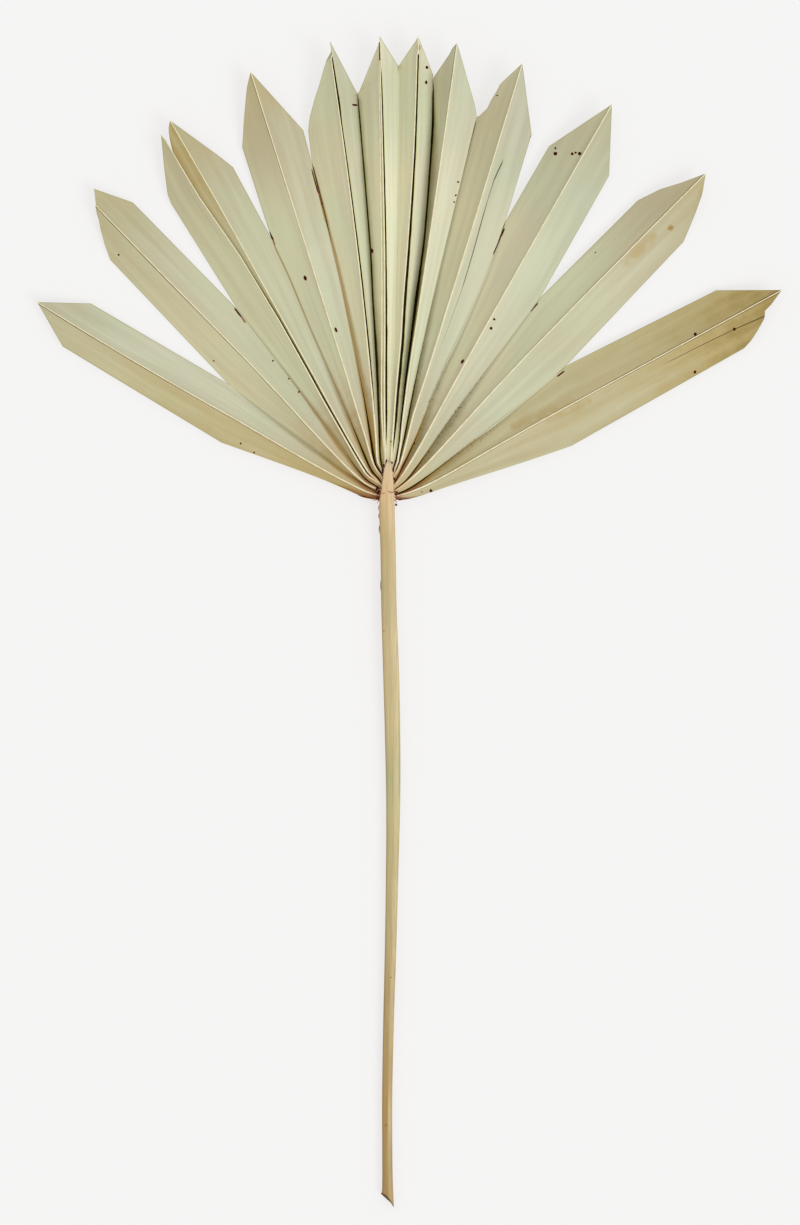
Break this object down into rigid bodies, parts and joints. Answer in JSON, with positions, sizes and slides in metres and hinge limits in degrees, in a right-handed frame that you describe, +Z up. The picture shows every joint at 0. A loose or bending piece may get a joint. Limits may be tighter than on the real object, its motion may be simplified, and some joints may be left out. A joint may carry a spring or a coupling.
{
  "type": "fan palm leaf",
  "caption": "Dried fan palm leaf: a pleated fan blade cut to points, on a long slender petiole, lying face up.",
  "frame": {"origin": "middle of the leaf's outline, at the level of the surface it lies on", "axes": "+Y from the petiole's cut end towards the tips of the fan, +X to the right as the leaf's face is seen from above, +Z up out of the leaf's face"},
  "size_m": [0.3566, 0.5606, 0.0155],
  "materials": {
    "dry_blade": "matt dried leaf, grey-green to golden tan, with cream ribs",
    "dry_petiole": "dry fibrous stalk, tan with a slight sheen"
  },
  "bodies": {
    "root": {"blade": "dry_blade", "petiole": "dry_petiole"}
  },
  "joints": []
}
